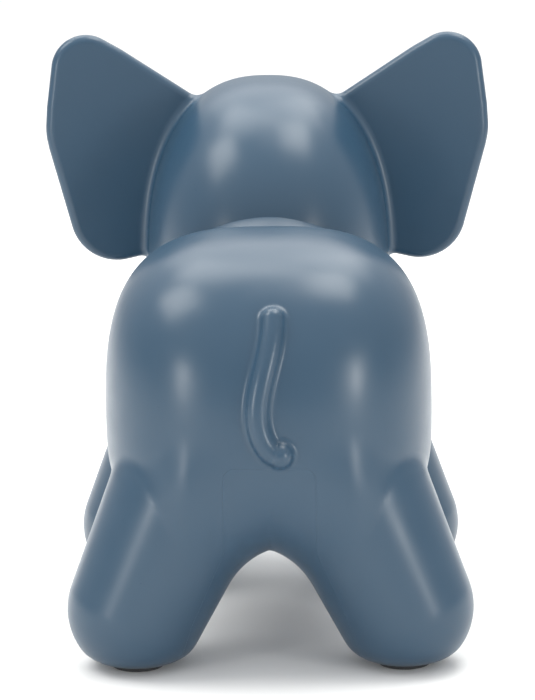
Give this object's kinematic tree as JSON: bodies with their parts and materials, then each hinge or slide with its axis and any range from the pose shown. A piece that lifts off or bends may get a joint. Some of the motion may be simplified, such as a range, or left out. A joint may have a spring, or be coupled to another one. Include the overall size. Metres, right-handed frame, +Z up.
{
  "type": "figural animal coin bank",
  "caption": "Hollow moulded elephant coin bank on four splayed legs, with flat ears, a slot in the back and a pull-out stopper in the belly.",
  "frame": {"origin": "centre of the footprint of the whole bank, on the surface it stands on", "axes": "+Z up, the elephant looks along -Y, +X is its left side"},
  "size_m": [0.1626, 0.2522, 0.1984],
  "materials": {
    "body_plastic": "satin slate-blue moulded plastic",
    "ear_plastic": "satin slate-blue moulded plastic, slightly darker",
    "trim_plastic": "fine matt slate-blue plastic",
    "eye_plastic": "polished black plastic",
    "stopper_rubber": "soft matt dark grey",
    "pad_rubber": "matt dark grey"
  },
  "bodies": {
    "body": {"back_shell": "body_plastic", "belly_shell": "body_plastic", "neck_collar": "body_plastic", "head_rear_shell": "body_plastic", "face_shell": "body_plastic", "trunk": "body_plastic", "ear_left": "ear_plastic", "ear_right": "ear_plastic", "eye_left": "eye_plastic", "eye_right": "eye_plastic", "slot_liner": "trim_plastic", "stopper_seat": "trim_plastic", "foot_pad_rear_left": "pad_rubber", "foot_pad_rear_right": "pad_rubber", "foot_pad_front_left": "pad_rubber", "foot_pad_front_right": "pad_rubber"},
    "stopper": {"stopper_plug": "stopper_rubber"}
  },
  "joints": [
    {"name": "stopper_pull", "type": "slide", "parent": "body", "child": "stopper", "axis": [0, 0, -1], "range_m": [0, 0.025]}
  ]
}
